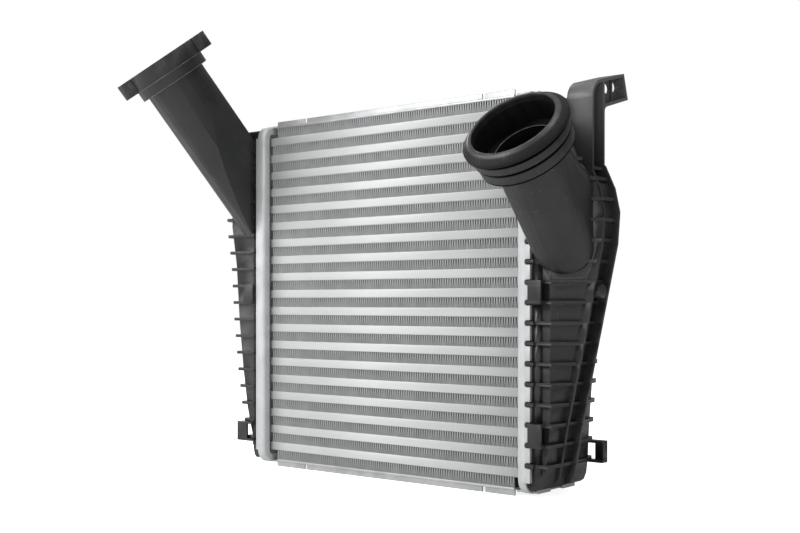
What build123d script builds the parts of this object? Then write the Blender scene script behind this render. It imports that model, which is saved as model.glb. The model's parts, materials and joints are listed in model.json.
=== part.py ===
from build123d import *
import os

# A charge-air cooler: an aluminium core of flat tubes and corrugated fins between two
# header trays, with a moulded plastic end tank crimped to each tray.
# All sizes are millimetres. X runs along the tubes from the left tank to the right one,
# the front face looks to -Y and Z is up. The origin is under the core, midway between the
# right tray and a tray as far to the left; the left tray itself stands a little further out.

# Core of tubes and fins
tube_count = 19
tube_pitch = 16.0
tube_height = 7.5
core_depth = 62.0
tube_wall = 0.5
tube_corner = 1.8
tube_web_count = 2
tube_web = 0.4
fin_waves = 14
fin_sheet_across = 0.6
fin_end_gap = 2.0
outer_fin_end_gap = 8.5

# Side plates that close the core above and below
side_plate_height = 6.5
side_plate_web = 2.0
side_plate_flange = 1.6
side_plate_recess = 0.8
relief_cut_place = 101.0
relief_cut_width = 3.0

# Header trays
rail_distance = 140.0
left_shift = 6.5
header_depth = 80.0
header_beyond_stack = 3.25
header_corner = 12.0
header_sheet = 1.6
header_edge = 2.8
groove_width = 4.3
plate_rise = 3.4
band_width = 8.0
tab_height = 11.6
tab_length = 4.2
tab_reach = 3.5
lip_edge = 1.5
lip_tab_tube = 17
end_tab_width = 18.0
end_tab_place = 18.5
tongue_length = 7.6
tube_beyond_plate = 3.0
braze_gap = 0.1

# Seal between tray and tank
gasket_gap = 0.3
gasket_thickness = 3.8

# Tank mouldings, the same on both sides
foot_gap = 0.3
foot_width = 5.1
foot_thickness = 5.0
wall_datum = 152.2
tank_wall = 3.0
tank_half_depth = 36.0
bottom_round = [(0.0, 0.35), (0.007, 0.66), (0.025, 0.88)]
bead_end_gap = 12.0
bead_radius = 2.2
bead_place = 4.2
rib_thickness = 2.8
rib_rise = 3.5
rib_foot_rise = 1.6
lowest_rib_gap = 1
highest_rib_gap = 1

# Outer wall of the right tank: share of the tank's height, and how far the wall stands
# from the foot's top face, along the channel in the middle of the depth
right_wall = [(0.06, 12.6), (0.15, 16.0), (0.30, 25.0), (0.48, 35.5), (0.62, 48.0),
              (0.70, 52.0), (0.77, 48.0), (0.83, 32.0), (0.91, 21.0), (1.0, 10.0)]
right_front_wall = 15.8
right_rear_start = 10.8
right_rear_follow = 0.4
right_spine_front = 19.0
right_spine_rear = 0.0
right_rear_bend = 30.0

# Channel on the outer face of the right tank
channel_flange = 2.5
channel_edge = [(0.06, 19.0), (0.15, 24.0), (0.30, 34.5), (0.48, 46.5), (0.62, 55.8),
                (0.70, 57.6), (0.76, 53.5), (0.82, 44.8)]
channel_front_set_back = 3.4
boss_radius = 5.5
boss_height = 163.5
boss_end = 200.0

# Bracket at the top of the channel
bracket_start = 173.0
bracket_end = 196.0
bracket_foot = 258.0
bracket_web_start = 186.0
bracket_web = 1.6
bracket_wall = 2.5
bracket_outline = [(-19.0, 325.9), (30.7, 339.0), (37.3, 318.7), (0.0, 308.1)]
bracket_outer_round = 16.0
bracket_inner_round = 5.0
bracket_hole_radius = 4.0
bracket_holes = [(17.0, 326.0), (28.4, 328.9)]
bracket_rib = 1.6
bracket_rib_rise = 2.0
bracket_open_from = 29.5
bracket_open_low = 323.0
bracket_open_high = 335.0

# Right neck and its socket
right_mouth = Vector(170.0, -87.0, 284.0)
right_direction = Vector(0.0, -0.7224, 0.6915).normalized()
neck_radius = 28.5
neck_wall = 3.0
socket_radius = 34.1
socket_depth = 19.0
nose_length = 5.0
nose_radius = 36.2
lip_radius = 43.0
lip_length = 2.5
clip_groove_radius = 38.0
clip_groove_length = 2.0
wide_ring_radius = 40.0
wide_ring_length = 8.0
thin_groove_radius = 37.6
thin_groove_length = 1.2
narrow_ring_radius = 38.7
narrow_ring_length = 9.3
collar_length = lip_length + clip_groove_length + wide_ring_length + thin_groove_length + narrow_ring_length
right_straight = 36.0
right_base_left = 3.2
right_base_width = 47.0
right_base_turn = 25.0
right_base_bottom = 177.0
right_base_height = 86.0
right_base_corner = 22.0

# Outer wall of the left tank, given as the right one is
left_wall = [(0.06, 11.8), (0.15, 19.5), (0.27, 25.4), (0.42, 30.8), (0.59, 34.8),
             (0.71, 41.0), (0.84, 41.0), (0.94, 34.0), (1.0, 24.0)]
left_edge_round = 5.0

# Left neck and its flange
left_base = Vector(-156.1, -5.0, 219.0)
left_direction = Vector(-0.2384, -0.5536, 0.7979).normalized()
left_neck_radius = 29.5
left_neck_length = 178.1
left_neck_sunk = 20.0
left_neck_clearance = 2.4
flange_collar_radius = 34.8
flange_radius = 35.5
flange_collar_length = 9.5
flange_thickness = 14.5
ear_pitch = 75.0
ear_radius = 10.0
ear_turn = 128.2
sleeve_radius = 4.5
sleeve_bore_radius = 3.3
sleeve_gap = 0.05
seal_inner_radius = 30.6
seal_width = 2.4
seal_thickness = 2.4
seal_groove_gap = 0.15
base_stand_off = 5.0
base_overlap = 12.0
roundness = 0.97
corner_steps = 7
seam_overlap = 1.0
bore_step = 0.5

# Clips and loops that hold the neighbouring parts
clip_start = 1.0
clip_width = 12.0
right_clip_stand_off = 9.0
left_clip_stand_off = 6.5
clip_wall = 2.0
loop_low = 23.0
loop_high = 41.0
loop_stand_off = 7.0
loop_wall = 2.0
loop_bar = 6.5
right_loop_plate = 10.5
right_loop_start = 4.8
left_loop_plate = 13.0
left_loop_start = 1.8

# Sizes that follow from the ones above
fin_height = tube_pitch - tube_height
stack_height = tube_count * tube_height + (tube_count + 1) * fin_height
core_height = stack_height + 2 * side_plate_height
mid_height = core_height / 2
header_height = core_height - 2 * header_beyond_stack
header_top = mid_height + header_height / 2
header_bottom = mid_height - header_height / 2
groove_inset = header_sheet + groove_width + header_sheet
plate_start = rail_distance + plate_rise
tube_half_length = plate_start + header_sheet + tube_beyond_plate + left_shift / 2
tab_tip = rail_distance + band_width + tab_length
foot_start = rail_distance + header_sheet + gasket_thickness
foot_end = foot_start + foot_thickness
core_middle = -left_shift / 2
foot_inset = header_sheet + foot_gap
tank_bottom = header_bottom + foot_inset + foot_width - tank_wall
tank_top = header_top - foot_inset - foot_width + tank_wall
tank_height = tank_top - tank_bottom
tank_inside_depth = tank_half_depth - tank_wall
tube_heights = [mid_height + (i - (tube_count - 1) / 2) * tube_pitch for i in range(tube_count)]
fin_heights = [mid_height + (i - tube_count / 2) * tube_pitch for i in range(tube_count + 1)]
rib_heights = fin_heights[lowest_rib_gap:-highest_rib_gap]


def save(shape, node):
    shape.label = node
    export_step(shape, f"parts/{node}.step")


def block(x_low, x_high, y_low, y_high, z_low, z_high):
    middle = Pos((x_low + x_high) / 2, (y_low + y_high) / 2, (z_low + z_high) / 2)
    return middle * Box(x_high - x_low, y_high - y_low, z_high - z_low)


def mirrored(shape):
    return Pos(-left_shift, 0, 0) * mirror(shape, about=Plane.YZ)


# Core


def flat_tube(height):
    outer = chamfer(Rectangle(core_depth, tube_height).vertices(), tube_corner)
    inner = Rectangle(core_depth - 2 * tube_wall, tube_height - 2 * tube_wall)
    profile = outer - chamfer(inner.vertices(), tube_corner - tube_wall)
    web_step = core_depth / (tube_web_count + 1)
    for i in range(tube_web_count):
        place = (i + 1) * web_step - core_depth / 2
        profile += Pos(place, 0) * Rectangle(tube_web, tube_height - tube_wall)
    start = core_middle - tube_half_length
    return extrude(Plane.YZ.offset(start) * Pos(0, height) * profile, 2 * tube_half_length)


def fin_strip(height, half_length):
    step = half_length / fin_waves
    half_swing = (fin_height - fin_sheet_across) / 2
    upper = []
    lower = []
    for i in range(2 * fin_waves + 1):
        swing = half_swing if i % 2 else -half_swing
        x = core_middle + i * step - half_length
        upper.append((x, height + swing + fin_sheet_across / 2))
        lower.append((x, height + swing - fin_sheet_across / 2))
    wave = make_face(Polyline(*upper, *reversed(lower), close=True))
    return extrude(Plane.XZ * wave, core_depth / 2, both=True)


def side_plate(inner_face, outward):
    half_length = rail_distance + left_shift / 2 - outer_fin_end_gap
    left_end, right_end = core_middle - half_length, core_middle + half_length
    web_far = inner_face + outward * side_plate_web
    outer_face = inner_face + outward * side_plate_height
    low, high = sorted((inner_face, web_far))
    plate = block(left_end, right_end, -core_depth / 2, core_depth / 2, low, high)
    low, high = sorted((web_far, outer_face))
    flange_face = core_depth / 2 - side_plate_recess
    for side in (-1, 1):
        near, far = sorted((side * flange_face, side * (flange_face - side_plate_flange)))
        flange = block(left_end, right_end, near, far, low, high)
        for end in (-1, 1):
            cut_middle = end * relief_cut_place
            flange -= block(cut_middle - relief_cut_width / 2, cut_middle + relief_cut_width / 2,
                            near, far, low, high)
        plate += flange
    return plate


# Header trays, seals and tank feet share one rounded outline


def tray_outline(inset):
    return Pos(0, mid_height) * RectangleRounded(
        header_depth - 2 * inset, header_height - 2 * inset, header_corner - inset)


def tray_ring(outer_inset, inner_inset, start, length):
    outline = tray_outline(outer_inset) - tray_outline(inner_inset)
    return extrude(Plane.YZ.offset(start) * outline, length)


def bent_tab(width):
    # Section of one crimped tab, drawn on the front wall of the tray
    root = rail_distance + band_width - header_sheet
    face = header_depth / 2
    section = make_face(Polyline(
        (root, face - header_sheet), (root, face), (tab_tip, face), (tab_tip, face - tab_reach),
        (tab_tip - header_sheet, face - tab_reach), (tab_tip - header_sheet, face - header_sheet),
        close=True))
    return extrude(section, width / 2, both=True)


def rolled_lip():
    # The lip of the left tray runs on without a break where the right tray has its tabs
    section = bent_tab(header_height - 2 * header_corner)
    outer_edge = section.edges().filter_by(Axis.Z).group_by(Axis.X)[-1].sort_by(Axis.Y)[-1]
    return Pos(0, 0, mid_height) * chamfer(outer_edge, lip_edge)


def header_tray(lipped):
    tray = tray_ring(0, header_sheet, rail_distance, band_width)
    tray += tray_ring(0, groove_inset, rail_distance, header_sheet)
    outer_rim = tray.faces().filter_by(Axis.X).sort_by(Axis.X)[0].outer_wire().edges()
    tray = fillet(outer_rim, header_edge)
    tray += tray_ring(groove_inset - header_sheet, groove_inset, rail_distance, plate_rise + header_sheet)
    plate = tray_outline(groove_inset - header_sheet)
    for height in tube_heights:
        slot_width = core_depth + 2 * braze_gap
        slot_height = tube_height + 2 * braze_gap
        plate -= Pos(0, height) * chamfer(Rectangle(slot_width, slot_height).vertices(), tube_corner)
    tray += extrude(Plane.YZ.offset(plate_start) * plate, header_sheet)
    tab = bent_tab(tab_height)
    if lipped:
        lip = rolled_lip()
        tray += [lip, mirror(lip, about=Plane.XZ), Pos(0, 0, tube_heights[lip_tab_tube]) * tab]
    else:
        for height in tube_heights:
            tray += Pos(0, 0, height) * tab
            tray += Pos(0, 0, height) * mirror(tab, about=Plane.XZ)
    # The short ends are held by wider tabs, and a tongue there reaches under the side plate
    end_tab = Rot(90, 0, 0) * Pos(0, header_height / 2 - header_depth / 2, 0) * bent_tab(end_tab_width)
    for place in (-end_tab_place, end_tab_place):
        tray += Pos(0, place, mid_height) * end_tab
        tray += Pos(0, place, mid_height) * mirror(end_tab, about=Plane.XY)
    half_width = header_depth / 2 - header_corner
    for low in (header_bottom, header_top - header_sheet):
        tray += block(rail_distance - tongue_length, rail_distance + header_edge + header_sheet,
                      -half_width, half_width, low, low + header_sheet)
    # Only the groove's bead is open at its outer edge, so the tray keeps its own hollow
    return tray - tray_ring(header_sheet, groove_inset - header_sheet,
                            rail_distance + header_sheet, band_width)


def gasket():
    inner_inset = groove_inset - header_sheet - gasket_gap
    return tray_ring(header_sheet + gasket_gap, inner_inset, rail_distance + header_sheet,
                     gasket_thickness)


# Tank mouldings, drawn on the right side


def between(table, share):
    # Reads a value off a table of share and value pairs
    for (low, first), (high, second) in zip(table, table[1:]):
        if share <= high:
            return first + (second - first) * (share - low) / (high - low)
    return table[-1][1]


def tank_outline(stations, share, height, scale, grow):
    # The tank's outline seen from above, at one height, from the front of its foot to the back
    points = []
    for y, reach in stations:
        points.append((wall_datum + max(scale * reach(share) + grow, 0), y))
    front, rear = -tank_half_depth - grow, tank_half_depth + grow
    points[0] = (points[0][0], front)
    points[-1] = (points[-1][0], rear)
    outline = Polyline((foot_end - 1, front), *points, (foot_end - 1, rear), close=True)
    return Plane.XY.offset(height) * make_face(outline)


def tank_body(stations, wall, grow):
    # The lowest outlines pull in to round the tank's lower corner
    sections = []
    for share, scale in bottom_round:
        height = tank_bottom + share * tank_height - grow
        sections.append(tank_outline(stations, wall[0][0], height, scale, grow))
    for share, reach in wall:
        height = tank_bottom + share * tank_height
        if share == 1:
            height += grow
        sections.append(tank_outline(stations, share, height, 1, grow))
    return loft(sections, ruled=True)


def right_front(share):
    return min(right_front_wall, between(right_wall, share))


def right_spine(share):
    return between(right_wall, share)


def right_rear(share):
    return right_rear_start + right_rear_follow * (right_spine(share) - right_wall[0][1])


def right_back(share):
    return right_rear(share) - right_rear_start / 2


def left_middle(share):
    return between(left_wall, share)


def left_edge(share):
    return left_middle(share) - left_edge_round


right_stations = [(-tank_half_depth, right_front), (-right_spine_front, right_spine),
                  (right_spine_rear, right_spine), (right_rear_bend, right_rear),
                  (tank_half_depth, right_back)]
left_bend = tank_half_depth - left_edge_round
left_stations = [(-tank_half_depth, left_edge), (-left_bend, left_middle),
                 (left_bend, left_middle), (tank_half_depth, left_edge)]


def tank_foot():
    outline = tray_outline(foot_inset)
    foot = extrude(Plane.YZ.offset(foot_start) * outline, foot_thickness)
    bead_low = tank_bottom + bead_end_gap
    bead_length = tank_top - bead_end_gap - bead_low
    for side in (-1, 1):
        place = Pos(wall_datum + bead_place, side * tank_half_depth, bead_low)
        foot += place * Cylinder(bead_radius, bead_length, align=(Align.CENTER, Align.CENTER, Align.MIN))
    return foot


def foot_opening():
    outline = tray_outline(foot_inset + foot_width)
    return extrude(Plane.YZ.offset(foot_start - 1) * outline, foot_thickness + 2)


def ribs(stations, start):
    # Ribs wrap the body; on the right they reach through the gaps between the tabs
    face = header_depth / 2 + rib_foot_rise
    foot_front = wall_datum + bead_place
    wrap = []
    for height in rib_heights:
        share = (height - tank_bottom) / tank_height
        outer = [(wall_datum + reach(share) + rib_rise, y) for y, reach in stations]
        outer[0] = (outer[0][0], -tank_half_depth - rib_rise)
        outer[-1] = (outer[-1][0], tank_half_depth + rib_rise)
        outline = Polyline((start, -face), (foot_front, -face), (foot_front, outer[0][1]), *outer,
                           (foot_front, outer[-1][1]), (foot_front, face), (start, face), close=True)
        level = Plane.XY.offset(height - rib_thickness / 2)
        wrap.append(extrude(level * make_face(outline), rib_thickness))
    return wrap


def front_clip(first_rib, stand_off):
    # A plate that bridges two ribs and stands off the front wall
    start = wall_datum + clip_start
    face = -tank_half_depth - stand_off
    low = rib_heights[first_rib] - rib_thickness / 2
    high = rib_heights[first_rib + 1] + rib_thickness / 2
    clip = block(start, start + clip_width, face, face + clip_wall, low, high)
    for height in rib_heights[first_rib:first_rib + 2]:
        clip += block(start, start + clip_width, face, -tank_inside_depth - 1,
                      height - rib_thickness / 2, height + rib_thickness / 2)
    return clip


def side_loop(loop_start, plate_length, side):
    # A plate on two bars beside the tank, with a way through between them
    start = wall_datum + loop_start
    end = start + loop_bar + plate_length
    near, far = tank_half_depth, tank_half_depth + loop_stand_off
    loop = block(end - plate_length, end, far - loop_wall, far, loop_low, loop_high)
    loop += block(end - loop_wall, end, near, far, loop_low, loop_high)
    for low in (loop_low, loop_high - loop_wall):
        loop += block(start, end, near - tank_wall / 2, far, low, low + loop_wall)
    return loop if side > 0 else mirror(loop, about=Plane.XZ)


def neck_frame(origin, direction):
    across = Vector(1, 0, 0) - direction * direction.X
    return Plane(origin=origin, x_dir=across, z_dir=direction)


def turned(points):
    # Solid of revolution about the neck's axis, from radius and distance pairs
    return revolve(Plane.XZ * make_face(Polyline(*points, close=True)), axis=Axis.Z)


def round_section(radius):
    # A circle in all but name, with as many edges as the funnel's base
    return RectangleRounded(2 * radius, 2 * radius, radius * roundness)


def stepped(section):
    # The section with its round corners in short straight steps, which keeps a funnel light
    points = []
    for edge in section.face().outer_wire().order_edges():
        count = corner_steps if edge.geom_type == GeomType.CIRCLE else 1
        points += [edge @ (step / count) for step in range(count)]
    return make_face(Polyline(*points, close=True))


def funnel(base, frame, near, far, radius, depth):
    # A tube that widens into the tank wall, from its far end in the collar to its base
    tube = round_section(radius)
    sections = [stepped(face) for face in (base, frame.offset(near) * tube, frame.offset(far) * tube)]
    return loft(sections, ruled=True) + extrude(sections[0], depth, dir=(0, 1, 0))


# Right tank


def right_base(inset):
    plane = Plane(
        origin=(wall_datum + right_base_left, -tank_half_depth - base_stand_off, right_base_bottom),
        x_dir=Vector(1, 0, 0).rotate(Axis.Z, right_base_turn),
        z_dir=Vector(0, -1, 0).rotate(Axis.Z, right_base_turn))
    middle = Pos(right_base_width / 2, right_base_height / 2)
    return plane * middle * RectangleRounded(
        right_base_width - 2 * inset, right_base_height - 2 * inset, right_base_corner - inset)


def right_funnel(inset, depth):
    frame = neck_frame(right_mouth, right_direction)
    return funnel(right_base(inset), frame, -right_straight, seam_overlap - collar_length,
                  neck_radius - inset, depth)


def right_socket():
    # Radius of each ring from the lip to the neck, with its length along the axis
    rings = [(lip_radius, lip_length), (clip_groove_radius, clip_groove_length),
             (wide_ring_radius, wide_ring_length), (thin_groove_radius, thin_groove_length),
             (narrow_ring_radius, narrow_ring_length)]
    outline = [(0, nose_length), (nose_radius, nose_length), (lip_radius, 0)]
    depth = 0
    for radius, length in rings:
        outline += [(radius, -depth), (radius, -depth - length)]
        depth += length
    outline = [outline[0], outline[1], *outline[3:], (0, -depth)]
    return neck_frame(right_mouth, right_direction) * turned(outline)


def right_bore():
    bore_radius = neck_radius - neck_wall + bore_step
    start = nose_length + 1
    outline = [(0, start), (socket_radius, start), (socket_radius, -socket_depth),
               (bore_radius, -socket_depth), (bore_radius, -collar_length), (0, -collar_length)]
    return neck_frame(right_mouth, right_direction) * turned(outline)


def channel():
    set_backs = [(-right_spine_front, channel_front_set_back), (right_spine_rear - channel_flange, 0)]
    flanges = []
    for y, set_back in set_backs:
        edge = [(wall_datum + reach - set_back, tank_bottom + share * tank_height)
                for share, reach in channel_edge]
        low = [(wall_datum + scale * (channel_edge[0][1] - set_back), tank_bottom + 1 + share * tank_height)
               for share, scale in bottom_round]
        side = Polyline((wall_datum, low[0][1]), *low, *edge, (wall_datum, edge[-1][1]), close=True)
        flanges.append(extrude(Plane.XZ.offset(-y) * make_face(side), -channel_flange))
    boss_place = (right_spine_rear - right_spine_front) / 2
    boss = Pos(wall_datum + tank_wall, boss_place, boss_height) * Rot(0, 90, 0) * Cylinder(
        boss_radius, boss_end - wall_datum - tank_wall, align=(Align.CENTER, Align.CENTER, Align.MIN))
    return [*flanges, boss]


def bracket():
    front = -right_spine_front
    corners = [(front, bracket_foot), *bracket_outline, (right_spine_rear, bracket_foot)]
    side = make_face(Polyline(*corners, close=True))
    for (y, z), radius in ((bracket_outline[0], bracket_outer_round),
                           (bracket_outline[-1], bracket_inner_round)):
        corner = side.vertices().sort_by_distance((y, z))[0]
        side = fillet(corner, radius)
    body = extrude(Plane.YZ.offset(bracket_start) * side, bracket_end - bracket_start)
    pocket = offset(side, -bracket_wall)
    pocket -= Pos(right_spine_rear - channel_flange / 2, mid_height) * Rectangle(
        channel_flange, 2 * core_height)
    web_face = Plane.YZ.offset(bracket_web_start + bracket_web)
    body -= extrude(web_face * pocket, bracket_end - bracket_web_start - bracket_web)
    # A low rib stands on the web between the holes
    rib_place = (bracket_holes[0][0] + bracket_holes[1][0]) / 2
    rib = pocket & Pos(rib_place, mid_height) * Rectangle(bracket_rib, 2 * core_height)
    body += extrude(web_face * rib, bracket_rib_rise)
    body -= extrude(Plane.YZ.offset(bracket_start) * pocket, bracket_web_start - bracket_start)
    # Behind the holes the far end is open
    body -= block(bracket_start, bracket_web_start, bracket_open_from, header_depth, bracket_open_low,
                  bracket_open_high)
    for y, z in bracket_holes:
        body -= Pos(bracket_start, y, z) * Rot(0, 90, 0) * Cylinder(
            bracket_hole_radius, bracket_end - bracket_start,
            align=(Align.CENTER, Align.CENTER, Align.MIN))
    return body


def tank_right():
    tank = tank_body(right_stations, right_wall, 0)
    tank += channel()
    tank += ribs(right_stations, rail_distance + band_width + foot_gap)
    tank += tank_foot()
    tank += right_funnel(0, base_overlap)
    tank += right_socket()
    for first_rib in (1, 8):
        tank += front_clip(first_rib, right_clip_stand_off)
    tank += side_loop(right_loop_start, right_loop_plate, 1)
    tank -= tank_body(right_stations, right_wall, -tank_wall)
    tank -= foot_opening()
    tank -= right_funnel(neck_wall, 2 * base_overlap)
    tank -= right_bore()
    return tank + bracket()


# Left tank, drawn on the right side and mirrored


def left_frame(distance):
    origin = left_base + left_direction * distance
    direction = Vector(-left_direction.X, left_direction.Y, left_direction.Z)
    return neck_frame(Vector(-origin.X - left_shift, origin.Y, origin.Z), direction)


def left_pipe(inset):
    # A straight pipe that sinks into the tank, cut off flat beside the header's tabs
    pipe = left_frame(-left_neck_sunk) * Cylinder(
        left_neck_radius - inset, left_neck_length + left_neck_sunk + seam_overlap,
        align=(Align.CENTER, Align.CENTER, Align.MIN))
    return pipe & block(wall_datum + left_neck_clearance + inset, header_height, -header_height,
                        header_depth, 0, 2 * header_height)


def flange_ears():
    ear_reach = ear_pitch / 2
    outline = Circle(flange_radius)
    for side in (-1, 1):
        outline += Pos(side * ear_reach, 0) * Circle(ear_radius)
        outline += Pos(side * ear_reach / 2, 0) * Rectangle(ear_reach, 2 * ear_radius)
    return outline


def left_flange():
    collar = Cylinder(flange_collar_radius, flange_collar_length,
                      align=(Align.CENTER, Align.CENTER, Align.MIN))
    plate = Rot(0, 0, ear_turn) * Pos(0, 0, flange_collar_length) * extrude(
        flange_ears(), flange_thickness)
    return left_frame(left_neck_length) * (collar + plate)


def left_bore():
    total = flange_collar_length + flange_thickness
    bore_radius = left_neck_radius - neck_wall - bore_step
    bore = turned([(0, 0), (bore_radius, 0), (bore_radius, total + 1), (0, total + 1)])
    groove_inner = seal_inner_radius - seal_groove_gap
    groove_outer = seal_inner_radius + seal_width + seal_groove_gap
    floor = total - seal_thickness
    bore += turned([(groove_inner, floor), (groove_outer, floor), (groove_outer, total + 1),
                    (groove_inner, total + 1)])
    for side in (-1, 1):
        bore += Rot(0, 0, ear_turn) * Pos(side * ear_pitch / 2, 0, total - flange_thickness - 1) * Cylinder(
            sleeve_radius + sleeve_gap, flange_thickness + 2,
            align=(Align.CENTER, Align.CENTER, Align.MIN))
    return left_frame(left_neck_length) * bore


def tank_left():
    tank = tank_body(left_stations, left_wall, 0)
    tank += ribs(left_stations, tab_tip + foot_gap)
    tank += tank_foot()
    tank += left_pipe(0)
    tank += left_flange()
    tank += front_clip(8, left_clip_stand_off)
    tank += side_loop(left_loop_start, left_loop_plate, -1)
    tank -= tank_body(left_stations, left_wall, -tank_wall)
    tank -= foot_opening()
    tank -= left_pipe(neck_wall)
    tank -= left_bore()
    return mirrored(tank)


def flange_seal():
    frame = left_frame(left_neck_length)
    top = flange_collar_length + flange_thickness
    ring = turned([(seal_inner_radius, top - seal_thickness),
                   (seal_inner_radius + seal_width, top - seal_thickness),
                   (seal_inner_radius + seal_width, top), (seal_inner_radius, top)])
    return mirrored(frame * ring)


def flange_sleeves():
    frame = left_frame(left_neck_length)
    sleeve = Cylinder(sleeve_radius, flange_thickness, align=(Align.CENTER, Align.CENTER, Align.MIN))
    sleeve -= Cylinder(sleeve_bore_radius, flange_thickness, align=(Align.CENTER, Align.CENTER, Align.MIN))
    places = [Rot(0, 0, ear_turn) * Pos(side * ear_pitch / 2, 0, flange_collar_length)
              for side in (-1, 1)]
    return mirrored(Compound([frame * place * sleeve for place in places]))


def main():
    os.makedirs("parts", exist_ok=True)
    for number, height in enumerate(tube_heights, 1):
        save(flat_tube(height), f"tube_{number:02d}")
    for number, height in enumerate(fin_heights, 1):
        outer = number in (1, len(fin_heights))
        gap = outer_fin_end_gap if outer else fin_end_gap
        save(fin_strip(height, rail_distance + left_shift / 2 - gap), f"fin_{number:02d}")
    save(side_plate(side_plate_height, -1), "side_plate_bottom")
    save(side_plate(core_height - side_plate_height, 1), "side_plate_top")
    save(header_tray(False), "header_right")
    save(mirrored(header_tray(True)), "header_left")
    seal = gasket()
    save(seal, "gasket_right")
    save(mirrored(seal), "gasket_left")
    save(tank_right(), "tank_right")
    save(tank_left(), "tank_left")
    save(flange_seal(), "flange_seal")
    save(flange_sleeves(), "flange_sleeves")


main()
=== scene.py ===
import json
import math

import bmesh
import bpy
from mathutils import Matrix, Vector


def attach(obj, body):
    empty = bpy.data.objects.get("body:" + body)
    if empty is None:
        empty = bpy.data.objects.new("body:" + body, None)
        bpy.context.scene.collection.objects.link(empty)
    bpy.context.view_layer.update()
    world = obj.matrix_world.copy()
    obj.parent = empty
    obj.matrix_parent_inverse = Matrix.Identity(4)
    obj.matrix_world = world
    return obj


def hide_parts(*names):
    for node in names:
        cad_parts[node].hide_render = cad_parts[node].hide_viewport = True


# The looks of a charge-air cooler: satin aluminium core, dark moulded end tanks.
# Lengths are metres, in the frame of the CAD model. The values come first, then the meshes,
# the effects, the materials, the pieces and the stage; the last lines put the scene together.

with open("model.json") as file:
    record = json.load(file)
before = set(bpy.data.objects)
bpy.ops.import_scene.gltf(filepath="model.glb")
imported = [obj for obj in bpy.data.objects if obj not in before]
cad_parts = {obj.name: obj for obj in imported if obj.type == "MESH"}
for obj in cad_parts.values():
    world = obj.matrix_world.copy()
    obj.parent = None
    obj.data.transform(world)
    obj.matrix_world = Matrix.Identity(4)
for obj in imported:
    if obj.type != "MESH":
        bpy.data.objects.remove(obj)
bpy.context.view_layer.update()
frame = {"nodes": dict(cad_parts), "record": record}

MM = 0.001

# Core
TUBE_COUNT = 19
TUBE_PITCH = 16 * MM
TUBE_HEIGHT = 7.5 * MM
CORE_HEIGHT = 325.5 * MM
CORE_DEPTH = 62 * MM
CORE_MIDDLE = -3.25 * MM
CORE_HALF_LENGTH = 143.25 * MM

# Fin rows: a folded sheet whose tops and bottoms are flat for a share of each wave
FIN_END_GAP = 2 * MM
OUTER_FIN_END_GAP = 8.5 * MM
FIN_WAVE = 2.5 * MM
FIN_SHEET = 0.3 * MM
FIN_SET_BACK = 0.5 * MM
FIN_FLAT = 0.16
FIN_SHADE_DEPTH = 1.8 * MM

# Flat tubes: thin sheet with a slightly rounded nose
TUBE_HALF_LENGTH = 151.25 * MM
TUBE_WALL = 0.5 * MM
TUBE_NOSE = 1.0 * MM
TUBE_NOSE_SEGMENTS = 5

# Rounded edges of the dressed pieces: width, segments, and the angle from which an edge is rounded
SHEET_EDGE = 0.35 * MM
PLASTIC_EDGE = 0.45 * MM
EDGE_SEGMENTS = 2
EDGE_ANGLE = math.radians(28)
NECK_EDGE_ANGLE = math.radians(46)
FLAT_ANGLE = math.radians(1)
WELD = 0.001 * MM

# Swelling of the right tank's wall between its ribs: below its top and behind its front
PILLOW_FRONT = -41 * MM
PILLOW_FRONT_FADE = 2 * MM
PILLOW_TOP = 165 * MM
PILLOW_TOP_FADE = 20 * MM
PILLOW_SIDE_FADE = 1 * MM
PILLOW_RISE = 1.1 * MM

# Socket of the right neck, where shade is painted inside, with depths measured along its axis from the
# mouth
SOCKET_MOUTH = (170 * MM, -87 * MM, 284 * MM)
SOCKET_AXIS = (0, -0.7224, 0.6915)
SOCKET_RADIUS = 34.9 * MM
STEP_DEPTH = 18.2 * MM
STEP_MARGIN = 2 * MM
STEP_FADE = 1 * MM
MOUTH_EDGE = 0.4 * MM
WALL_FADE = 0.4 * MM
BORE_RADIUS = 25.9 * MM
BORE_FADE = 0.6 * MM
BORE_DEPTH = 80 * MM
BEND_FADE = 10 * MM

# Collar around the socket, with painted shade on its lip and in its grooves: its lip, and the near and far
# edge of each of its grooves
COLLAR_RADIUS = 35.9 * MM
LIP_RADIUS = 45 * MM
LIP_RADIUS_FADE = 1 * MM
LIP_FRONT = -4 * MM
LIP_FRONT_FADE = 1 * MM
LIP_LENGTH = 2.2 * MM
LIP_FADE = 0.3 * MM
LIP_SHADE = 0.75
GROOVES = [(2.2 * MM, 6.6 * MM), (11.8 * MM, 15.2 * MM), (22.0 * MM, 25.4 * MM)]
GROOVE_NEAR_FADE = 0.3 * MM
GROOVE_FAR_FADE = 1.2 * MM

# Thin pale rims, a painted highlight: one at the step inside the socket, two around the left flange's
# collar.
# The left ones are measured along the left neck's axis from its foot: name, distance, radius.
STEP_RADIUS = 25.4 * MM
RIM_WIDTH = 0.35 * MM
RIM_SIDES = 8
RIM_STEPS = 96
FLANGE_BASE = (-156.1 * MM, -5 * MM, 219 * MM)
FLANGE_AXIS = (-0.2384, -0.5536, 0.7979)
FLANGE_SEAMS = [("flange_seam", 187.6 * MM, 35.4 * MM), ("collar_seam", 178.4 * MM, 34.6 * MM)]

# Bead beside the right tray, which the tank's front ribs cross
BEAD_RADIUS = 3.2 * MM
BEAD_SIDES = 28
BEAD_PLACE = 157.8 * MM
BEAD_FRONT = -36.2 * MM
BEAD_LOW = 20 * MM
BEAD_HIGH = 190 * MM

# Painted light on the bracket on top of the right tank: where the paler colour starts, and over how much
# it grows
BRACKET_LOW = 262 * MM
BRACKET_LOW_FADE = 58 * MM
BRACKET_LEFT = 170 * MM
BRACKET_LEFT_FADE = 6 * MM
BRACKET_FRONT = -42 * MM
BRACKET_FRONT_FADE = 4 * MM

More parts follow.
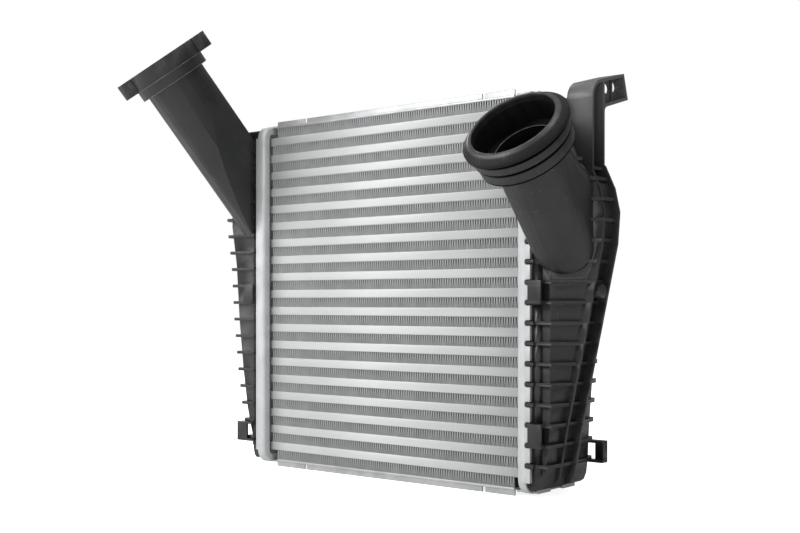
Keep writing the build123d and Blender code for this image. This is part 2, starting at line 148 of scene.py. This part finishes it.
# Colours as linear red, green and blue. A finish has a darker and a lighter one.
TUBE_TONES = ((0.52, 0.525, 0.525), (0.58, 0.585, 0.585))
FIN_TONES = ((0.51, 0.52, 0.52), (0.59, 0.60, 0.60))
PLATE_TONES = ((0.40, 0.41, 0.41), (0.52, 0.52, 0.53))
TRAY_TONES = ((0.47, 0.48, 0.485), (0.55, 0.56, 0.565))
BRASS_TONES = ((0.50, 0.38, 0.18), (0.62, 0.48, 0.25))
TANK_TONES = ((0.009, 0.0092, 0.0098), (0.018, 0.0183, 0.0192))
RUBBER_TONES = ((0.010, 0.010, 0.010), (0.016, 0.016, 0.016))
# Pale tones of the rims, a painted highlight
RIM_HIGHLIGHT_TONES = ((0.05, 0.05, 0.051), (0.11, 0.11, 0.112))
FIN_SHADOW = (0.035, 0.037, 0.038)
SCRATCHED_PLASTIC = (0.11, 0.11, 0.112)
DUST = (0.15, 0.15, 0.145)
# Painted light on the bracket
BRACKET_PAINTED_LIGHT = (0.115, 0.115, 0.118)
# Painted shade inside the socket and on its lip
SOCKET_PAINTED_SHADE = (0.014, 0.014, 0.0145)
# Painted shade in the grooves of the collar
GROOVE_PAINTED_SHADE = (0.0005, 0.0005, 0.0005)

# Noise: scale and detail of each pattern, then the span of its values over which it comes in
FINE_GRAIN = (900, 3)
BROAD_GRAIN = (70, 4)
METAL_CLOUD = (55, 5)
FIN_CLOUD = (90, 4)
# Cloud of the rims' painted highlight
RIM_HIGHLIGHT_CLOUD = (120, 4)
PLASTIC_CLOUD = (26, 6)
PLASTIC_SPECK = (480, 2)
THIN_SCRATCH = (420, 2)
SCRATCH_PATCH = (22, 2)
DUST_PATCH = (160, 5)
GRAIN_SPAN = (0.3, 0.7)
CLOUD_SPAN = (0.35, 0.65)
PLASTIC_CLOUD_SPAN = (0.35, 0.68)
SPECK_SPAN = (0.62, 0.75)
SCRATCH_SPAN = (0.66, 0.72)
SCRATCH_PATCH_SPAN = (0.5, 0.62)
DUST_SPAN = (0.42, 0.7)

# Upward part of a face's normal over which dust comes in
DUST_FACING_SPAN = (0.3, 1.0)

# Stretch of a pattern along each axis
EVEN = (1, 1, 1)
ALONG_TUBE = (0.12, 1, 1)
SCRATCH_STRETCHES = [(0.05, 1, 1.6), (1.3, 1, 0.06)]

# Strength of each effect
FINE_GRAIN_SHARE = 0.4
GLOSS_CHANGE = 0.09
GRAIN_RELIEF = 0.1 * MM
METAL_SCRATCHES = 0.35
SCRATCH_GAIN = 1.18
PLASTIC_SCRATCHES = 0.30
SPECK_SHARE = 0.5
DUST_SHARE = 0.2
# Strength of the painted light on the bracket
BRACKET_LIGHT_SHARE = 0.7
DULL_SOCKET = 0.2

# Camera, as fitted to the photograph
CAMERA_PLACE = (0.6576, -0.8102, 0.1552)
CAMERA_TURN = (math.radians(90), 0, math.radians(39.6))
CAMERA_SENSOR = 36
CAMERA_LENS = 52.65
CAMERA_SHIFT = 0.0444
CAMERA_REACH = 20

# Lamps: name, place, target, width and height, watts
LAMPS = [
    ("key", (-0.7, -1.6, 1.4), (0, 0, 0.16), (0.9, 0.9), 24),
    ("side", (1.6, -0.4, 0.8), (0.15, 0, 0.16), (0.6, 1.4), 4),
    ("top", (0.0, 0.3, 1.6), (0, 0, 0.2), (1.6, 1.2), 3.5),
    ("window", (-0.95, -1.25, 0.85), (0.15, 0, 0.3), (0.45, 0.45), 3),
    ("crown", (0.3, -0.35, 1.2), (0.19, 0, 0.34), (0.4, 0.4), 4),
    ("left", (-1.5, -0.9, 0.7), (-0.15, 0, 0.2), (0.6, 1.2), 9),
    ("fill", (0.8, -1.4, 0.2), (0.18, -0.04, 0.1), (0.5, 0.3), 3),
    ("rim", (-1.2, 0.7, 0.9), (-0.2, -0.05, 0.3), (0.5, 1.0), 8),
]
FLOOR_SIZE = 4
FLOOR_PAPER = (0.8, 0.8, 0.8)
FLOOR_GLOW = 0.85
WHITE = (1, 1, 1)
STUDIO_LIGHT = 0.28


# Meshes


def link(name, bm):
    # An object in the scene with the finished mesh
    mesh = bpy.data.meshes.new(name)
    bm.to_mesh(mesh)
    bm.free()
    piece = bpy.data.objects.new(name, mesh)
    bpy.context.scene.collection.objects.link(piece)
    return piece


def smooth(bm):
    for face in bm.faces:
        face.smooth = True


def flat_tube(height):
    # An open tube of thin sheet with a rounded nose, front and rear
    bm = bmesh.new()
    bmesh.ops.create_cube(bm, size=1)
    ends = [face for face in bm.faces if abs(face.normal.x) > 0.5]
    bmesh.ops.delete(bm, geom=ends, context="FACES_ONLY")
    bmesh.ops.scale(bm, verts=bm.verts, vec=(2 * TUBE_HALF_LENGTH, CORE_DEPTH, TUBE_HEIGHT))
    bmesh.ops.translate(bm, verts=bm.verts, vec=(CORE_MIDDLE, 0, height))
    noses = [edge for edge in bm.edges if not edge.is_boundary]
    bmesh.ops.bevel(bm, geom=noses, offset=TUBE_NOSE, offset_type="OFFSET", affect="EDGES",
                    segments=TUBE_NOSE_SEGMENTS, profile=0.5, material=-1)
    bmesh.ops.solidify(bm, geom=bm.faces[:], thickness=TUBE_WALL)
    smooth(bm)
    return bm


def fin_row(height, half_length):
    # One wave of folded sheet seen from the front, repeated along the row and drawn out in depth
    bm = bmesh.new()
    count = round(2 * half_length / FIN_WAVE)
    step = 2 * half_length / count
    swing = (TUBE_PITCH - TUBE_HEIGHT - FIN_SHEET) / 2
    front = FIN_SET_BACK - CORE_DEPTH / 2
    start = CORE_MIDDLE - half_length
    wave = [(0, -swing), (FIN_FLAT, -swing), (0.5 - FIN_FLAT, swing), (0.5 + FIN_FLAT, swing),
            (1 - FIN_FLAT, -swing), (1, -swing)]
    points = [bm.verts.new((start + along * step, front, height + rise)) for along, rise in wave]
    for pair in zip(points, points[1:]):
        bm.edges.new(pair)
    bmesh.ops.spin(bm, geom=bm.verts[:] + bm.edges[:], axis=(0, 0, 1), dvec=(step, 0, 0), angle=0,
                   steps=count - 1, use_duplicate=True)
    bmesh.ops.remove_doubles(bm, verts=bm.verts, dist=WELD)
    drawn = bmesh.ops.extrude_edge_only(bm, edges=bm.edges[:])["geom"]
    moved = [part for part in drawn if isinstance(part, bmesh.types.BMVert)]
    bmesh.ops.translate(bm, verts=moved, vec=(0, CORE_DEPTH - 2 * FIN_SET_BACK, 0))
    bmesh.ops.recalc_face_normals(bm, faces=bm.faces)
    bmesh.ops.solidify(bm, geom=bm.faces[:], thickness=FIN_SHEET)
    return bm


def bead():
    # An upright round bar with flat ends
    bm = bmesh.new()
    bmesh.ops.create_cone(bm, cap_ends=True, segments=BEAD_SIDES, radius1=BEAD_RADIUS, radius2=BEAD_RADIUS,
                          depth=BEAD_HIGH - BEAD_LOW)
    bmesh.ops.translate(bm, verts=bm.verts, vec=(BEAD_PLACE, BEAD_FRONT, (BEAD_HIGH + BEAD_LOW) / 2))
    for face in bm.faces:
        face.smooth = len(face.verts) == 4
    return bm


def rim(centre, axis, radius):
    # A thin ring about the axis
    bm = bmesh.new()
    turn = Vector((0, 0, 1)).rotation_difference(axis).to_matrix()
    bmesh.ops.create_circle(bm, segments=RIM_SIDES, radius=RIM_WIDTH)
    bmesh.ops.rotate(bm, verts=bm.verts, matrix=Matrix.Rotation(math.radians(90), 3, "X"))
    bmesh.ops.rotate(bm, verts=bm.verts, matrix=turn)
    bmesh.ops.translate(bm, verts=bm.verts, vec=centre + turn @ Vector((radius, 0, 0)))
    bmesh.ops.spin(bm, geom=bm.verts[:] + bm.edges[:], cent=centre, axis=axis,
                   angle=math.tau, steps=RIM_STEPS)
    bmesh.ops.remove_doubles(bm, verts=bm.verts, dist=WELD)
    bmesh.ops.recalc_face_normals(bm, faces=bm.faces)
    smooth(bm)
    return bm


def merged_copy(node):
    # The mesh of a CAD node with its loose triangles joined to whole faces
    source = frame["nodes"][node]
    bm = bmesh.new()
    bm.from_mesh(source.data)
    bm.transform(source.matrix_world)
    bmesh.ops.remove_doubles(bm, verts=bm.verts, dist=WELD)
    bmesh.ops.dissolve_limit(bm, angle_limit=FLAT_ANGLE, verts=bm.verts, edges=bm.edges)
    smooth(bm)
    return bm


def soften(piece, width, angle):
    # Rounds every edge that is sharper than the angle
    edge = piece.modifiers.new("soft edges", "BEVEL")
    edge.width = width
    edge.segments = EDGE_SEGMENTS
    edge.profile = 0.5
    edge.limit_method = "ANGLE"
    edge.angle_limit = angle
    edge.harden_normals = True
    edge.use_clamp_overlap = True


# Nodes of a material


def feed(tree, value, socket):
    # Sets the socket to a number or colour, or joins another node's output to it
    if isinstance(value, bpy.types.NodeSocket):
        tree.links.new(value, socket)
    elif socket.type == "RGBA":
        socket.default_value = (*value, 1)
    else:
        socket.default_value = value


def maths(tree, kind, first, second=0):
    # A sum is kept between 0 and 1
    node = tree.nodes.new("ShaderNodeMath")
    node.operation = kind
    node.use_clamp = kind == "ADD"
    feed(tree, first, node.inputs[0])
    feed(tree, second, node.inputs[1])
    return node.outputs["Value"]


def product(tree, first, *factors):
    result = first
    for factor in factors:
        result = maths(tree, "MULTIPLY", result, factor)
    return result


def vector_maths(tree, kind, first, second=(0, 0, 0), result="Vector"):
    node = tree.nodes.new("ShaderNodeVectorMath")
    node.operation = kind
    feed(tree, first, node.inputs[0])
    feed(tree, second, node.inputs[1])
    return node.outputs[result]


def ranged(tree, value, low, high, to_low=0, to_high=1):
    # Stretches the values from low to high over the given range, and cuts off what lies beyond
    node = tree.nodes.new("ShaderNodeMapRange")
    node.inputs["From Min"].default_value = low
    node.inputs["From Max"].default_value = high
    node.inputs["To Min"].default_value = to_low
    node.inputs["To Max"].default_value = to_high
    tree.links.new(value, node.inputs["Value"])
    return node.outputs["Result"]


def rising(tree, value, start, fade):
    # 0 below the start, 1 past the fade
    return ranged(tree, value, start, start + fade)


def falling(tree, value, start, fade):
    # 1 below the start, 0 past the fade
    return ranged(tree, value, start, start + fade, 1, 0)


def place(tree):
    # The point on the piece, in the frame of the CAD model
    return tree.nodes.new("ShaderNodeTexCoord").outputs["Object"]


def split(tree, vector):
    # Along, depth and height of a vector
    parts = tree.nodes.new("ShaderNodeSeparateXYZ")
    tree.links.new(vector, parts.inputs["Vector"])
    return parts.outputs["X"], parts.outputs["Y"], parts.outputs["Z"]


def noise(tree, pattern, stretch=EVEN):
    scale, detail = pattern
    turn = tree.nodes.new("ShaderNodeMapping")
    turn.inputs["Scale"].default_value = stretch
    grain = tree.nodes.new("ShaderNodeTexNoise")
    grain.inputs["Scale"].default_value = scale
    grain.inputs["Detail"].default_value = detail
    tree.links.new(place(tree), turn.inputs["Vector"])
    tree.links.new(turn.outputs["Vector"], grain.inputs["Vector"])
    return grain.outputs["Fac"]


def patches(tree, pattern, span, stretch=EVEN):
    # Noise that is 0 below the span and 1 above it
    return ranged(tree, noise(tree, pattern, stretch), *span)


def blend(tree, share, first, second):
    # The first colour, with a share of the second
    node = tree.nodes.new("ShaderNodeMix")
    node.data_type = "RGBA"
    colours = [socket for socket in node.inputs if socket.type == "RGBA"]
    tree.links.new(share, node.inputs["Factor"])
    feed(tree, first, colours[0])
    feed(tree, second, colours[1])
    return next(socket for socket in node.outputs if socket.type == "RGBA")


# Effects that more than one material uses


def effect(name, outputs, inputs=()):
    # A node group with number sockets: the group, what it is given and what it puts out
    group = bpy.data.node_groups.new(name, "ShaderNodeTree")
    for label in inputs:
        group.interface.new_socket(label, in_out="INPUT", socket_type="NodeSocketFloat")
    for label in outputs:
        group.interface.new_socket(label, in_out="OUTPUT", socket_type="NodeSocketFloat")
    start = group.nodes.new("NodeGroupInput")
    end = group.nodes.new("NodeGroupOutput")
    return group, start.outputs, end.inputs


def shared(tree, group, **given):
    # Places an effect in a material and hands back its outputs
    node = tree.nodes.new("ShaderNodeGroup")
    node.node_tree = group
    for label, value in given.items():
        node.inputs[label].default_value = value
    return node.outputs


def grain_effect():
    # Fine relief of a cast or rolled surface, with a matching change of gloss
    group, given, result = effect("surface grain", ["Height", "Roughness"], ["Rough"])
    fine = noise(group, FINE_GRAIN)
    broad = noise(group, BROAD_GRAIN)
    mixed = maths(group, "ADD", product(group, fine, FINE_GRAIN_SHARE),
                  product(group, broad, 1 - FINE_GRAIN_SHARE))
    uneven = ranged(group, mixed, *GRAIN_SPAN, -GLOSS_CHANGE, GLOSS_CHANGE)
    feed(group, fine, result["Height"])
    feed(group, maths(group, "ADD", given["Rough"], uneven), result["Roughness"])
    return group


def scratch_effect():
    # Thin marks in two directions, gathered in patches
    group, _, result = effect("scratches", ["Mark"])
    marks = []
    for stretch in SCRATCH_STRETCHES:
        line = patches(group, THIN_SCRATCH, SCRATCH_SPAN, stretch)
        marks.append(product(group, line, patches(group, SCRATCH_PATCH, SCRATCH_PATCH_SPAN)))
    feed(group, maths(group, "ADD", *marks), result["Mark"])
    return group


def dust_effect():
    # Pale dust that lies on faces that look up
    group, _, result = effect("dust", ["Share"])
    shape = group.nodes.new("ShaderNodeNewGeometry")
    _, _, upward = split(group, shape.outputs["Normal"])
    facing = ranged(group, upward, *DUST_FACING_SPAN)
    feed(group, product(group, facing, patches(group, DUST_PATCH, DUST_SPAN)), result["Share"])
    return group


def pillow_effect():
    # The right tank swells a little between one rib and the next; the neck in front stays smooth
    group, _, result = effect("pillow", ["Height"])
    along, depth, height = split(group, place(group))
    turns = product(group, height, math.pi / TUBE_PITCH)
    lowest = math.pi * (CORE_HEIGHT / 2 / TUBE_PITCH - TUBE_COUNT / 2)
    wave = maths(group, "ABSOLUTE", maths(group, "SINE", maths(group, "SUBTRACT", turns, lowest)))
    body = rising(group, depth, PILLOW_FRONT - PILLOW_FRONT_FADE, PILLOW_FRONT_FADE)
    low = falling(group, height, PILLOW_TOP, PILLOW_TOP_FADE)
    right = rising(group, along, 0, PILLOW_SIDE_FADE)
    feed(group, product(group, wave, body, low, right), result["Height"])
    return group


def socket_inside(group, depth, radius):
    # Where shade is painted: the wall of the socket down to its step, and of the narrower bore down to the
    # bend
    socket_wall = product(group, falling(group, radius, SOCKET_RADIUS, WALL_FADE),
                          falling(group, depth, STEP_DEPTH + STEP_MARGIN, STEP_FADE))
    bore_wall = falling(group, radius, BORE_RADIUS, BORE_FADE)
    return product(group, maths(group, "MAXIMUM", bore_wall, socket_wall),
                   rising(group, depth, MOUTH_EDGE, WALL_FADE),
                   falling(group, depth, BORE_DEPTH, BEND_FADE))


def collar_lip(group, depth, on_collar):
    # Painted shade on the outer lip, which is coloured a little darker than the collar behind it
    return product(group, falling(group, depth, LIP_LENGTH, LIP_FADE), LIP_SHADE, on_collar,
                   rising(group, depth, LIP_FRONT, LIP_FRONT_FADE))


def collar_grooves(group, depth, radius, on_collar):
    # Painted shade along the grooves of the collar
    groove_shade = 0
    for near, far in GROOVES:
        line = product(group, rising(group, depth, near - GROOVE_NEAR_FADE, GROOVE_NEAR_FADE),
                       falling(group, depth, far - GROOVE_FAR_FADE, GROOVE_FAR_FADE))
        groove_shade = maths(group, "MAXIMUM", line, groove_shade)
    return product(group, groove_shade, rising(group, radius, COLLAR_RADIUS - WALL_FADE, WALL_FADE), on_collar)


def socket_effect():
    # Painted shade: the dark inside of the socket, its darker lip, and the dark grooves around it
    group, _, result = effect("socket", ["Inside", "Groove shade"])
    offset = vector_maths(group, "SUBTRACT", place(group), SOCKET_MOUTH)
    outward = vector_maths(group, "DOT_PRODUCT", offset, SOCKET_AXIS, "Value")
    depth = product(group, outward, -1)
    sideways = vector_maths(group, "CROSS_PRODUCT", offset, SOCKET_AXIS)
    radius = vector_maths(group, "LENGTH", sideways, result="Value")
    on_collar = falling(group, radius, LIP_RADIUS, LIP_RADIUS_FADE)
    inside = maths(group, "MAXIMUM", socket_inside(group, depth, radius),
                   collar_lip(group, depth, on_collar))
    feed(group, inside, result["Inside"])
    feed(group, collar_grooves(group, depth, radius, on_collar), result["Groove shade"])
    return group


def bracket_effect():
    # Painted light: the bracket on top of the right tank is coloured paler than the rest, more towards its
    # top
    group, _, result = effect("bracket", ["Share"])
    along, depth, height = split(group, place(group))
    share = product(group, rising(group, height, BRACKET_LOW, BRACKET_LOW_FADE),
                    rising(group, along, BRACKET_LEFT, BRACKET_LEFT_FADE),
                    rising(group, depth, BRACKET_FRONT, BRACKET_FRONT_FADE))
    feed(group, share, result["Share"])
    return group


grain = grain_effect()
scratches = scratch_effect()
dust = dust_effect()
pillow = pillow_effect()
socket_shade = socket_effect()
bracket_light = bracket_effect()


# Materials


def material(name):
    made = bpy.data.materials.new(name)
    made.use_nodes = True
    return made, made.node_tree


def surface(tree, colour, rough, metallic, relief, specular):
    # Common build-up: a colour, uneven gloss and fine relief. Hands back the gloss and the relief.
    shader = tree.nodes["Principled BSDF"]
    shader.inputs["Metallic"].default_value = metallic
    shader.inputs["Specular IOR Level"].default_value = specular
    fine = shared(tree, grain, Rough=rough)
    raised = tree.nodes.new("ShaderNodeBump")
    raised.inputs["Strength"].default_value = relief
    raised.inputs["Distance"].default_value = GRAIN_RELIEF
    tree.links.new(fine["Height"], raised.inputs["Height"])
    tree.links.new(fine["Roughness"], shader.inputs["Roughness"])
    tree.links.new(raised.outputs["Normal"], shader.inputs["Normal"])
    tree.links.new(colour, shader.inputs["Base Color"])
    return fine["Roughness"], raised


def metal(name, tones, rough, metallic, stretch=EVEN):
    # Clouded metal with bright scratches
    made, tree = material(name)
    dark, light = tones
    base = blend(tree, patches(tree, METAL_CLOUD, CLOUD_SPAN, stretch), dark, light)
    mark = product(tree, shared(tree, scratches)["Mark"], METAL_SCRATCHES)
    bright = tuple(min(1.0, part * SCRATCH_GAIN) for part in light)
    surface(tree, blend(tree, mark, base, bright), rough, metallic, relief=0.25, specular=0.5)
    return made


def fin_metal():
    # Folded sheet that darkens quickly behind its front and rear edges
    made, tree = material("fin aluminium")
    _, depth, _ = split(tree, place(tree))
    edge = CORE_DEPTH / 2 - FIN_SET_BACK
    near_edge = rising(tree, maths(tree, "ABSOLUTE", depth), edge - FIN_SHADE_DEPTH, FIN_SHADE_DEPTH)
    lit = blend(tree, patches(tree, FIN_CLOUD, CLOUD_SPAN), *FIN_TONES)
    surface(tree, blend(tree, near_edge, FIN_SHADOW, lit), rough=0.5, metallic=0.3, relief=0.1,
            specular=0.4)
    return made


def painted_highlight_edge():
    # Painted highlight: a moulded edge coloured pale
    made, tree = material("nylon edge painted highlight")
    colour = blend(tree, patches(tree, RIM_HIGHLIGHT_CLOUD, CLOUD_SPAN), *RIM_HIGHLIGHT_TONES)
    surface(tree, colour, rough=0.35, metallic=0, relief=0.2, specular=0.4)
    return made


def moulded_colour(tree, tones, socket):
    # Clouded plastic, then its scratches and dust, painted light on the bracket, and painted shade in the
    # socket, on its lip and in its grooves
    cloud = patches(tree, PLASTIC_CLOUD, PLASTIC_CLOUD_SPAN)
    speck = product(tree, patches(tree, PLASTIC_SPECK, SPECK_SPAN), SPECK_SHARE)
    base = blend(tree, maths(tree, "ADD", cloud, speck), *tones)
    mark = product(tree, shared(tree, scratches)["Mark"], PLASTIC_SCRATCHES)
    marked = blend(tree, mark, base, SCRATCHED_PLASTIC)
    powder = product(tree, shared(tree, dust)["Share"], DUST_SHARE)
    powdered = blend(tree, powder, marked, DUST)
    bracket_lit_share = product(tree, shared(tree, bracket_light)["Share"], BRACKET_LIGHT_SHARE)
    bracket_lit = blend(tree, bracket_lit_share, powdered, BRACKET_PAINTED_LIGHT)
    darkened = blend(tree, socket["Inside"], bracket_lit, SOCKET_PAINTED_SHADE)
    return blend(tree, socket["Groove shade"], darkened, GROOVE_PAINTED_SHADE)


def plastic(name, tones, rough):
    # Plastic or rubber, with painted shade inside the socket, on its lip and in its grooves, and swelling
    # between the ribs of the right tank
    made, tree = material(name)
    shader = tree.nodes["Principled BSDF"]
    socket = shared(tree, socket_shade)
    gloss, raised = surface(tree, moulded_colour(tree, tones, socket), rough, metallic=0, relief=0.35,
                            specular=0.5)
    shaded = maths(tree, "MAXIMUM", socket["Inside"], socket["Groove shade"])
    duller = maths(tree, "ADD", gloss, product(tree, shaded, DULL_SOCKET))
    tree.links.new(duller, shader.inputs["Roughness"])
    tree.links.new(shaded, shader.inputs["Metallic"])
    swell = tree.nodes.new("ShaderNodeBump")
    swell.inputs["Strength"].default_value = 1
    swell.inputs["Distance"].default_value = PILLOW_RISE
    tree.links.new(shared(tree, pillow)["Height"], swell.inputs["Height"])
    tree.links.new(swell.outputs["Normal"], raised.inputs["Normal"])
    return made


finishes = {
    "core_tube": metal("tube aluminium", TUBE_TONES, rough=0.55, metallic=0.25, stretch=ALONG_TUBE),
    "fin_strip": fin_metal(),
    "side_plate": metal("side plate aluminium", PLATE_TONES, rough=0.44, metallic=0.55),
    "header_tray": metal("tray aluminium", TRAY_TONES, rough=0.56, metallic=0.3),
    "tank_plastic": plastic("tank nylon", TANK_TONES, rough=0.40),
    "seal_rubber": plastic("seal rubber", RUBBER_TONES, rough=0.6),
    "sleeve_brass": metal("sleeve brass", BRASS_TONES, rough=0.35, metallic=0.55),
}
# The pale finish of the rims, a painted highlight
painted_highlight_finish = painted_highlight_edge()
slots = {entry["node"]: entry["material_slot"] for entry in frame["record"]["subparts"]}


# Pieces


def new_piece(name, bm, finish):
    piece = link(name, bm)
    piece.data.materials.append(finish)
    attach(piece, "root")
    return piece


def paint_nodes():
    # Every CAD node gets the finish of its slot
    for name, slot in slots.items():
        mesh = frame["nodes"][name].data
        mesh.materials.clear()
        mesh.materials.append(finishes[slot])


def fin_rows():
    # One row below each tube and one above the last; the outer two are shorter
    for number in range(1, TUBE_COUNT + 2):
        height = CORE_HEIGHT / 2 + (number - 1 - TUBE_COUNT / 2) * TUBE_PITCH
        outer = number in (1, TUBE_COUNT + 1)
        half_length = CORE_HALF_LENGTH - (OUTER_FIN_END_GAP if outer else FIN_END_GAP)
        row = new_piece(f"fin_row_{number:02d}", fin_row(height, half_length),
                        finishes["fin_strip"])
        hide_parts(f"fin_{number:02d}")


def tubes():
    # One tube between each two fin rows
    for number in range(1, TUBE_COUNT + 1):
        height = CORE_HEIGHT / 2 + (number - (TUBE_COUNT + 1) / 2) * TUBE_PITCH
        tube = new_piece(f"rounded_tube_{number:02d}", flat_tube(height), finishes["core_tube"])
        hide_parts(f"tube_{number:02d}")


def dressed(node, name, width, angle=EDGE_ANGLE):
    # A copy of a CAD node with its edges softened
    slot = slots[node]
    piece = new_piece(name, merged_copy(node), finishes[slot])
    soften(piece, width, angle)
    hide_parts(node)


def plates_and_trays():
    for side in ("bottom", "top"):
        dressed(f"side_plate_{side}", f"folded_plate_{side}", SHEET_EDGE)
    for side in ("left", "right"):
        dressed(f"header_{side}", f"pressed_tray_{side}", SHEET_EDGE)


def tanks():
    # On the left tank only the sharper edges are rounded
    dressed("tank_left", "moulded_tank_left", PLASTIC_EDGE, NECK_EDGE_ANGLE)
    dressed("tank_right", "moulded_tank_right", PLASTIC_EDGE)
    new_piece("front_bead", bead(), finishes["tank_plastic"])


def painted_highlight_rims():
    # Thin pale rings as a painted highlight at the step inside the socket and along the seams of the left
    # flange
    socket_axis = Vector(SOCKET_AXIS).normalized()
    step = Vector(SOCKET_MOUTH) - socket_axis * STEP_DEPTH
    new_piece("socket_rim", rim(step, socket_axis, STEP_RADIUS), painted_highlight_finish)
    flange_axis = Vector(FLANGE_AXIS).normalized()
    for name, distance, radius in FLANGE_SEAMS:
        centre = Vector(FLANGE_BASE) + flange_axis * distance
        new_piece(name, rim(centre, flange_axis, radius), painted_highlight_finish)


# Camera, light and stage


def camera():
    data = bpy.data.cameras.new("camera")
    data.sensor_width = CAMERA_SENSOR
    data.lens = CAMERA_LENS
    data.shift_y = CAMERA_SHIFT
    data.clip_end = CAMERA_REACH
    holder = bpy.data.objects.new("camera", data)
    holder.location = CAMERA_PLACE
    holder.rotation_euler = CAMERA_TURN
    bpy.context.scene.collection.objects.link(holder)
    bpy.context.scene.camera = holder


def lamp(name, position, target, size, power):
    data = bpy.data.lights.new(name, "AREA")
    data.shape = "RECTANGLE"
    data.size, data.size_y = size
    data.energy = power
    holder = bpy.data.objects.new(name, data)
    holder.location = position
    aim = Vector(target) - Vector(position)
    holder.rotation_euler = aim.to_track_quat("-Z", "Y").to_euler()
    bpy.context.scene.collection.objects.link(holder)


def floor_white():
    # Seen by the camera as paper white with the part's shadow, and plain white paper otherwise
    made, tree = material("floor white")
    nodes, links = tree.nodes, tree.links
    nodes.clear()
    path = nodes.new("ShaderNodeLightPath")
    glow = nodes.new("ShaderNodeEmission")
    glow.inputs["Strength"].default_value = FLOOR_GLOW
    paper = nodes.new("ShaderNodeBsdfDiffuse")
    feed(tree, FLOOR_PAPER, paper.inputs["Color"])
    both = nodes.new("ShaderNodeAddShader")
    choose = nodes.new("ShaderNodeMixShader")
    result = nodes.new("ShaderNodeOutputMaterial")
    links.new(path.outputs["Is Camera Ray"], choose.inputs["Fac"])
    links.new(paper.outputs["BSDF"], choose.inputs[1])
    links.new(glow.outputs["Emission"], both.inputs[0])
    links.new(paper.outputs["BSDF"], both.inputs[1])
    links.new(both.outputs["Shader"], choose.inputs[2])
    links.new(choose.outputs["Shader"], result.inputs["Surface"])
    return made


def floor():
    bm = bmesh.new()
    bmesh.ops.create_grid(bm, x_segments=1, y_segments=1, size=FLOOR_SIZE)
    ground = link("floor", bm)
    ground.data.materials.append(floor_white())


def studio():
    # Even white light, and a white background for the camera alone
    world = bpy.data.worlds.new("studio")
    world.use_nodes = True
    tree = world.node_tree
    light = tree.nodes["Background"]
    feed(tree, WHITE, light.inputs["Color"])
    light.inputs["Strength"].default_value = STUDIO_LIGHT
    seen = tree.nodes.new("ShaderNodeBackground")
    feed(tree, WHITE, seen.inputs["Color"])
    path = tree.nodes.new("ShaderNodeLightPath")
    choose = tree.nodes.new("ShaderNodeMixShader")
    tree.links.new(path.outputs["Is Camera Ray"], choose.inputs["Fac"])
    tree.links.new(light.outputs["Background"], choose.inputs[1])
    tree.links.new(seen.outputs["Background"], choose.inputs[2])
    tree.links.new(choose.outputs["Shader"], tree.nodes["World Output"].inputs["Surface"])
    bpy.context.scene.world = world


# The whole scene

paint_nodes()
fin_rows()
tubes()
plates_and_trays()
tanks()
painted_highlight_rims()
camera()
floor()
studio()
for settings in LAMPS:
    lamp(*settings)
bpy.context.scene.view_settings.view_transform = "Standard"
